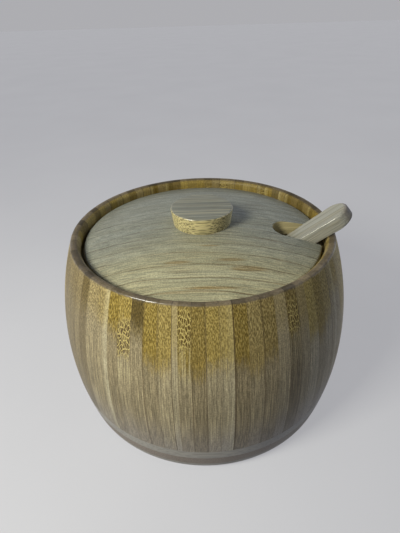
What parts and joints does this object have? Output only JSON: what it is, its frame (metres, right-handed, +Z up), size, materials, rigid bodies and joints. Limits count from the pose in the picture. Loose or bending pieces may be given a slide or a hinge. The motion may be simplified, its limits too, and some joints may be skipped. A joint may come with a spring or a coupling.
{
  "type": "salt box",
  "caption": "Round bamboo salt box with a barrel-shaped body, a domed lid with a flat knob, and a small wooden spoon that leans out through a notch in the lid.",
  "frame": {"origin": "centre of the base's underside", "axes": "+Z up, +X towards the side where the spoon leans out, -Y towards the front"},
  "size_m": [0.12, 0.12, 0.0882],
  "materials": {
    "body_bamboo": "satin lacquer",
    "base_bamboo": "satin lacquer",
    "lid_bamboo": "satin lacquer",
    "knob_bamboo": "satin lacquer",
    "dowel_bamboo": "plain",
    "spoon_wood": "plain sanded"
  },
  "bodies": {
    "pot": {"base_ply_bottom": "base_bamboo", "base_ply_middle": "base_bamboo", "base_ply_top": "base_bamboo", "stave_01": "body_bamboo", "stave_02": "body_bamboo", "stave_03": "body_bamboo", "stave_04": "body_bamboo", "stave_05": "body_bamboo", "stave_06": "body_bamboo", "stave_07": "body_bamboo", "stave_08": "body_bamboo", "stave_09": "body_bamboo", "stave_10": "body_bamboo", "stave_11": "body_bamboo", "stave_12": "body_bamboo", "stave_13": "body_bamboo", "stave_14": "body_bamboo", "stave_15": "body_bamboo", "stave_16": "body_bamboo", "stave_17": "body_bamboo", "stave_18": "body_bamboo", "stave_19": "body_bamboo", "stave_20": "body_bamboo", "stave_21": "body_bamboo", "stave_22": "body_bamboo", "stave_23": "body_bamboo", "stave_24": "body_bamboo", "stave_25": "body_bamboo", "stave_26": "body_bamboo", "stave_27": "body_bamboo", "stave_28": "body_bamboo", "stave_29": "body_bamboo", "stave_30": "body_bamboo", "stave_31": "body_bamboo", "stave_32": "body_bamboo", "stave_33": "body_bamboo", "stave_34": "body_bamboo", "stave_35": "body_bamboo", "stave_36": "body_bamboo", "stave_37": "body_bamboo", "stave_38": "body_bamboo", "closing_strip": "body_bamboo"},
    "lid": {"lid_strip_1": "lid_bamboo", "lid_strip_2": "lid_bamboo", "lid_strip_3": "lid_bamboo", "lid_strip_4": "lid_bamboo", "lid_strip_5": "lid_bamboo", "lid_strip_6": "lid_bamboo", "lid_strip_7": "lid_bamboo", "lid_knob": "knob_bamboo", "knob_dowel": "dowel_bamboo"},
    "spoon": {"spoon": "spoon_wood"}
  },
  "joints": [
    {"name": "lid_lift", "type": "slide", "parent": "pot", "child": "lid", "axis": [0, 0, 1], "range_m": [0, 0.06]},
    {"name": "spoon_draw", "type": "slide", "parent": "pot", "child": "spoon", "axis": [0.7584, -0.1093, 0.6425], "range_m": [0, 0.036]}
  ]
}
